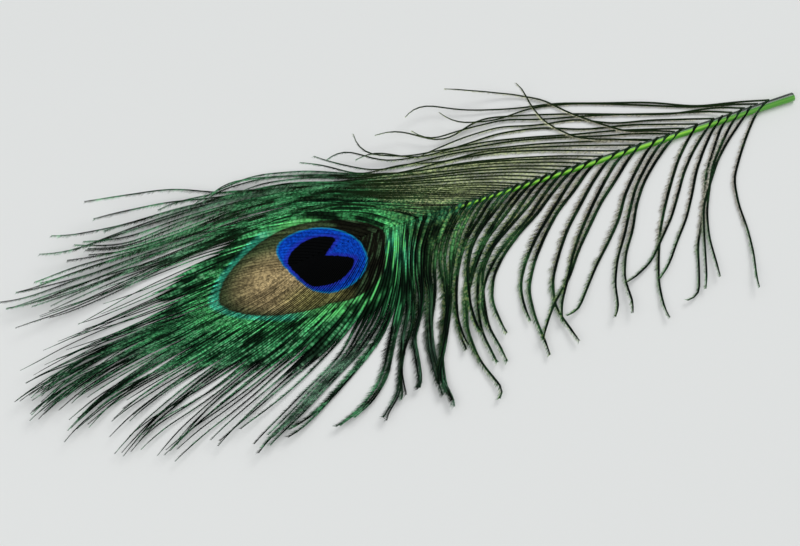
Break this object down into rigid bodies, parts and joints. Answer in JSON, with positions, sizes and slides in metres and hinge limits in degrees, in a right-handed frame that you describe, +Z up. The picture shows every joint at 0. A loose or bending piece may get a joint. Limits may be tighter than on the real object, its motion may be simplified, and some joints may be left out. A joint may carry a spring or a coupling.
{
  "type": "peacock feather",
  "caption": "Cut end of a peacock tail feather lying face up: a tapering green shaft, a close vane with its round eye, and long loose barbs on both sides.",
  "frame": {"origin": "on the surface that the feather lies on, under the middle of its eye", "axes": "+X along the shaft from the cut butt towards the tip, +Z up out of the face that shows the eye, +Y towards the vane with the longer loose barbs"},
  "size_m": [0.2277, 0.0892, 0.0086],
  "materials": {
    "feather": "satin"
  },
  "bodies": {
    "root": {"feather": "feather"}
  },
  "joints": []
}
